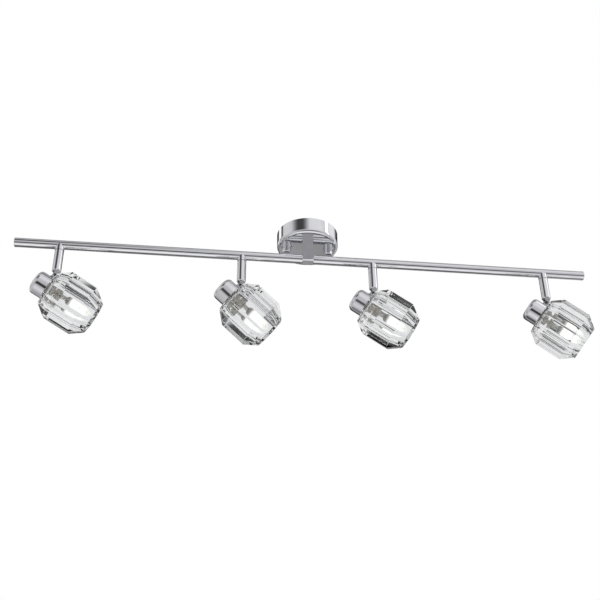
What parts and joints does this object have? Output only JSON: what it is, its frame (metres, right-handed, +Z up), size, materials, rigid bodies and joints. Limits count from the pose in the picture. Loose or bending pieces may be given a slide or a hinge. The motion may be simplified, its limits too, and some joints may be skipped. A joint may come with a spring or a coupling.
{
  "type": "ceiling spotlight bar",
  "caption": "Straight chrome ceiling bar on a round canopy, carrying swivelling and tilting spotlights with faceted crystal shades and capsule bulbs.",
  "frame": {"origin": "centre of the ceiling bracket's upper face, in the ceiling plane", "axes": "+X along the bar, towards the right as seen from the front; +Y away from the front; +Z up, into the ceiling"},
  "size_m": [0.75, 0.0839, 0.163],
  "materials": {
    "chrome_plate": "polished chrome plate",
    "dark_chrome": "darker polished plate",
    "zinc_steel": "zinc-plated pressed steel",
    "crystal": "clear polished crystal",
    "frosted_bulb": "frosted, lit",
    "steatite": "matt unglazed",
    "terminal_nylon": "moulded",
    "brass_screw": "plain",
    "lead_jacket": "smooth",
    "ring_aluminium": "satin"
  },
  "bodies": {
    "bar_frame": {"mounting_bracket": "zinc_steel", "bracket_studs": "zinc_steel", "canopy": "chrome_plate", "cap_nuts": "chrome_plate", "terminal_block": "terminal_nylon", "terminal_screws": "brass_screw", "earth_terminal": "brass_screw", "hub_nipple": "zinc_steel", "hub_washer": "zinc_steel", "hub_locknut": "zinc_steel", "hub_block": "chrome_plate", "left_collar": "chrome_plate", "right_collar": "chrome_plate", "left_arm": "chrome_plate", "right_arm": "chrome_plate", "left_end_cap": "chrome_plate", "right_end_cap": "chrome_plate", "left_lead": "lead_jacket", "right_lead": "lead_jacket", "boss_1": "chrome_plate", "boss_2": "chrome_plate", "boss_3": "chrome_plate", "boss_4": "chrome_plate", "stem_set_screws": "zinc_steel"},
    "swivel_1": {"stem_1": "chrome_plate", "fork_1": "dark_chrome", "hinge_screw_1": "dark_chrome"},
    "lamp_1": {"hinge_lug_1": "dark_chrome", "lamp_cup_1": "chrome_plate", "lampholder_1": "steatite", "shade_ring_1": "ring_aluminium", "crystal_shade_1": "crystal", "bulb_1": "frosted_bulb"},
    "swivel_2": {"stem_2": "chrome_plate", "fork_2": "dark_chrome", "hinge_screw_2": "dark_chrome"},
    "lamp_2": {"hinge_lug_2": "dark_chrome", "lamp_cup_2": "chrome_plate", "lampholder_2": "steatite", "shade_ring_2": "ring_aluminium", "crystal_shade_2": "crystal", "bulb_2": "frosted_bulb"},
    "swivel_3": {"stem_3": "chrome_plate", "fork_3": "dark_chrome", "hinge_screw_3": "dark_chrome"},
    "lamp_3": {"hinge_lug_3": "dark_chrome", "lamp_cup_3": "chrome_plate", "lampholder_3": "steatite", "shade_ring_3": "ring_aluminium", "crystal_shade_3": "crystal", "bulb_3": "frosted_bulb"},
    "swivel_4": {"stem_4": "chrome_plate", "fork_4": "dark_chrome", "hinge_screw_4": "dark_chrome"},
    "lamp_4": {"hinge_lug_4": "dark_chrome", "lamp_cup_4": "chrome_plate", "lampholder_4": "steatite", "shade_ring_4": "ring_aluminium", "crystal_shade_4": "crystal", "bulb_4": "frosted_bulb"}
  },
  "joints": [
    {"name": "lamp_1_swivel", "type": "hinge", "parent": "bar_frame", "child": "swivel_1", "pos_m": [-0.318, 0, -0.0475], "axis": [0, 0, 1], "range_deg": [-175, 175]},
    {"name": "lamp_1_tilt", "type": "hinge", "parent": "swivel_1", "child": "lamp_1", "pos_m": [-0.318, 0, -0.0825], "axis": [-0.2588, 0.9659, 0], "range_deg": [-46, 64]},
    {"name": "lamp_2_swivel", "type": "hinge", "parent": "bar_frame", "child": "swivel_2", "pos_m": [-0.086, 0, -0.0475], "axis": [0, 0, 1], "range_deg": [-175, 175]},
    {"name": "lamp_2_tilt", "type": "hinge", "parent": "swivel_2", "child": "lamp_2", "pos_m": [-0.086, 0, -0.0825], "axis": [-0.2419, 0.9703, 0], "range_deg": [-59, 51]},
    {"name": "lamp_3_swivel", "type": "hinge", "parent": "bar_frame", "child": "swivel_3", "pos_m": [0.086, 0, -0.0475], "axis": [0, 0, 1], "range_deg": [-175, 175]},
    {"name": "lamp_3_tilt", "type": "hinge", "parent": "swivel_3", "child": "lamp_3", "pos_m": [0.086, 0, -0.0825], "axis": [0, 1, 0], "range_deg": [-54, 56]},
    {"name": "lamp_4_swivel", "type": "hinge", "parent": "bar_frame", "child": "swivel_4", "pos_m": [0.318, 0, -0.0475], "axis": [0, 0, 1], "range_deg": [-175, 175]},
    {"name": "lamp_4_tilt", "type": "hinge", "parent": "swivel_4", "child": "lamp_4", "pos_m": [0.318, 0, -0.0825], "axis": [0.0349, 0.9994, 0], "range_deg": [-57, 53]}
  ]
}
